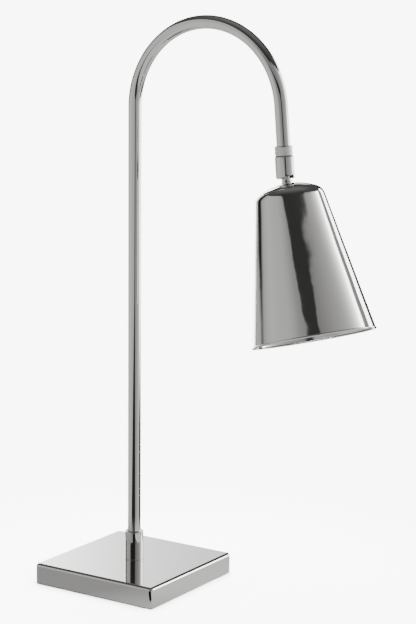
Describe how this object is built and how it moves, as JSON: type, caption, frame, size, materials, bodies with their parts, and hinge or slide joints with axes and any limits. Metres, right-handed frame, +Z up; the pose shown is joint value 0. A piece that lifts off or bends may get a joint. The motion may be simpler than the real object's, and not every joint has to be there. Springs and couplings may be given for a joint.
{
  "type": "swing arm desk lamp",
  "caption": "Desk lamp with a square weighted base, an arched tube that swings on it, and a tapered metal shade that swivels and tips on a ball joint under a knurled collar.",
  "frame": {"origin": "middle of the base's underside, on the column's axis", "axes": "+Z up along the column, +X the way the arm reaches towards the shade, +Y towards the back of the base where the cord enters"},
  "size_m": [0.3641, 0.1555, 0.6039],
  "materials": {
    "polished_nickel": "polished nickel plate, mirror bright",
    "plated_steel": "zinc plated",
    "cast_iron": "as cast",
    "felt": "pressed felt",
    "nylon": "moulded",
    "bushing_rubber": "moulded",
    "lead_sheath": "extruded",
    "phenolic": "moulded",
    "socket_shell": "drawn",
    "brass": "stamped",
    "bulb_cap_metal": "rolled thread",
    "frosted_glass": "inside frosted"
  },
  "bodies": {
    "base": {"felt_pad": "felt", "base_weight": "cast_iron", "base_cover": "polished_nickel", "base_ferrule": "polished_nickel", "swivel_post": "plated_steel", "post_washer": "plated_steel", "post_nut": "plated_steel", "swing_stop_pin": "plated_steel", "thrust_washer": "nylon", "friction_washer": "nylon", "retaining_ring": "plated_steel", "cord_bushing": "bushing_rubber", "base_lead": "lead_sheath"},
    "arm": {"arm_tube": "polished_nickel", "swivel_insert": "plated_steel", "arm_lead": "lead_sheath", "knurled_collar": "polished_nickel", "leg_plug": "plated_steel", "swivel_stud": "plated_steel"},
    "swivel": {"ball_housing": "polished_nickel", "housing_cap": "polished_nickel", "swivel_washer": "phenolic", "head_stop_pin": "plated_steel", "spring_washer": "plated_steel", "disc_springs": "plated_steel", "ball_seat": "nylon"},
    "head": {"ball_stem": "polished_nickel", "stem_collar": "polished_nickel", "shade": "polished_nickel", "shade_washer": "plated_steel", "stem_nut": "plated_steel", "socket_cap": "socket_shell", "socket_body": "phenolic", "screw_shell": "brass", "socket_contact": "brass", "terminal_screws": "plated_steel", "head_lead": "lead_sheath", "bulb_glass": "frosted_glass", "bulb_base": "bulb_cap_metal", "bulb_contact": "brass"}
  },
  "joints": [
    {"name": "arm_swing", "type": "hinge", "parent": "base", "child": "arm", "pos_m": [0, 0, 0.04], "axis": [0, 0, 1], "range_deg": [-165, 165]},
    {"name": "head_swivel", "type": "hinge", "parent": "arm", "child": "swivel", "pos_m": [0.18231, 0, 0.45166], "axis": [-0.0872, 0, 0.9962], "range_deg": [-165, 165]},
    {"name": "head_tilt", "type": "hinge", "parent": "swivel", "child": "head", "pos_m": [0.18231, 0, 0.45166], "axis": [-0.4523, -0.891, -0.0396], "range_deg": [-19.5, 27.5]}
  ]
}
